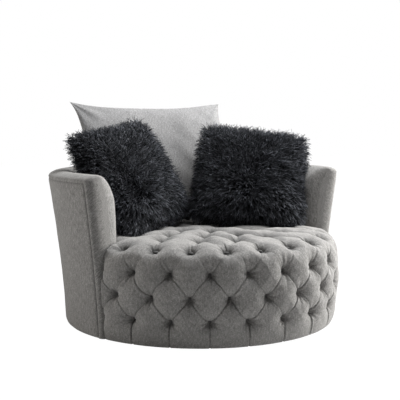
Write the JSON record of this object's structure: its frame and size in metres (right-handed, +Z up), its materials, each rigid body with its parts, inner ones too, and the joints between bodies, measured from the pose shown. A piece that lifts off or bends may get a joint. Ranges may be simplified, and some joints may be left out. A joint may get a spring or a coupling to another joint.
{
  "type": "swivel cuddle chair",
  "caption": "Round swivel cuddle chair: deep-buttoned drum seat, padded barrel back and arms, a loose back pillow and shaggy throw pillows.",
  "frame": {"origin": "on the floor under the swivel axis, at the bottom of the middle glide", "axes": "+Z up along the swivel axis, -Y to the open front of the seat, +X to the sitter's left arm side as seen from the front on the right"},
  "size_m": [1.2298, 1.1807, 0.9004],
  "materials": {
    "seat_fabric": "matt chenille weave",
    "shell_fabric": "matt chenille weave",
    "pillow_fabric": "matt chenille weave",
    "fur": "long-pile faux fur",
    "filling": "white spun cloth",
    "zip_tape": "coil zip",
    "felt": "needled felt",
    "foam": "open-cell foam",
    "dust_cloth": "spunbond cloth",
    "plywood": "raw plywood",
    "pine": "sawn softwood",
    "steel": "zinc-plated pressed steel",
    "glide_plastic": "moulded"
  },
  "bodies": {
    "plinth": {"floor_glide_1": "glide_plastic", "floor_glide_2": "glide_plastic", "floor_glide_3": "glide_plastic", "floor_glide_4": "glide_plastic", "floor_glide_5": "glide_plastic", "plinth_board": "plywood", "swivel_plate_lower": "steel", "lower_screw_1": "steel", "lower_screw_2": "steel", "lower_screw_3": "steel", "lower_screw_4": "steel"},
    "ball_ring": {"ball_cage": "steel"},
    "chair": {"swivel_plate_upper": "steel", "upper_screw_1": "steel", "upper_screw_2": "steel", "upper_screw_3": "steel", "upper_screw_4": "steel", "seat_base_board": "plywood", "dust_cover": "dust_cloth", "drum_front_wall": "plywood", "drum_post_1": "pine", "drum_post_2": "pine", "drum_post_3": "pine", "drum_post_4": "pine", "deck_frame": "plywood", "zigzag_spring_1": "steel", "zigzag_spring_2": "steel", "zigzag_spring_3": "steel", "zigzag_spring_4": "steel", "zigzag_spring_5": "steel", "spring_rail_front": "steel", "spring_rail_rear": "steel", "deck_felt": "felt", "seat_foam_core": "foam", "tufted_seat_cover": "seat_fabric", "shell_bottom_rail": "plywood", "shell_top_rail": "plywood", "shell_post_1": "pine", "shell_post_2": "pine", "shell_post_3": "pine", "shell_post_4": "pine", "shell_post_5": "pine", "shell_post_6": "pine", "shell_lining": "plywood", "outer_panel": "shell_fabric", "shell_pad": "shell_fabric", "frame_bolt_1": "steel", "frame_bolt_2": "steel", "frame_bolt_3": "steel", "frame_bolt_4": "steel"},
    "back_pillow": {"back_pillow_cover": "pillow_fabric", "back_pillow_insert": "filling", "back_pillow_zip": "zip_tape"},
    "fur_pillow_left": {"fur_pillow_left_cover": "fur", "fur_pillow_left_insert": "filling", "fur_pillow_left_zip": "zip_tape"},
    "fur_pillow_right": {"fur_pillow_right_cover": "fur", "fur_pillow_right_insert": "filling", "fur_pillow_right_zip": "zip_tape"}
  },
  "joints": [
    {"name": "swivel", "type": "hinge", "parent": "plinth", "child": "chair", "pos_m": [0, 0, 0], "axis": [0, 0, 1], "continuous": true},
    {"name": "ball_ring_turn", "type": "hinge", "parent": "plinth", "child": "ball_ring", "pos_m": [0, 0, 0], "axis": [0, 0, 1], "continuous": true},
    {"name": "back_pillow_lift", "type": "slide", "parent": "chair", "child": "back_pillow", "axis": [0, 0, 1], "range_m": [0, 0.3]},
    {"name": "fur_pillow_left_lift", "type": "slide", "parent": "back_pillow", "child": "fur_pillow_left", "axis": [0, 0, 1], "range_m": [0, 0.3]},
    {"name": "fur_pillow_right_lift", "type": "slide", "parent": "chair", "child": "fur_pillow_right", "axis": [0, 0, 1], "range_m": [0, 0.3]}
  ],
  "couplings": [
    {"joint": "ball_ring_turn", "follows": "swivel", "ratio": 0.5}
  ]
}
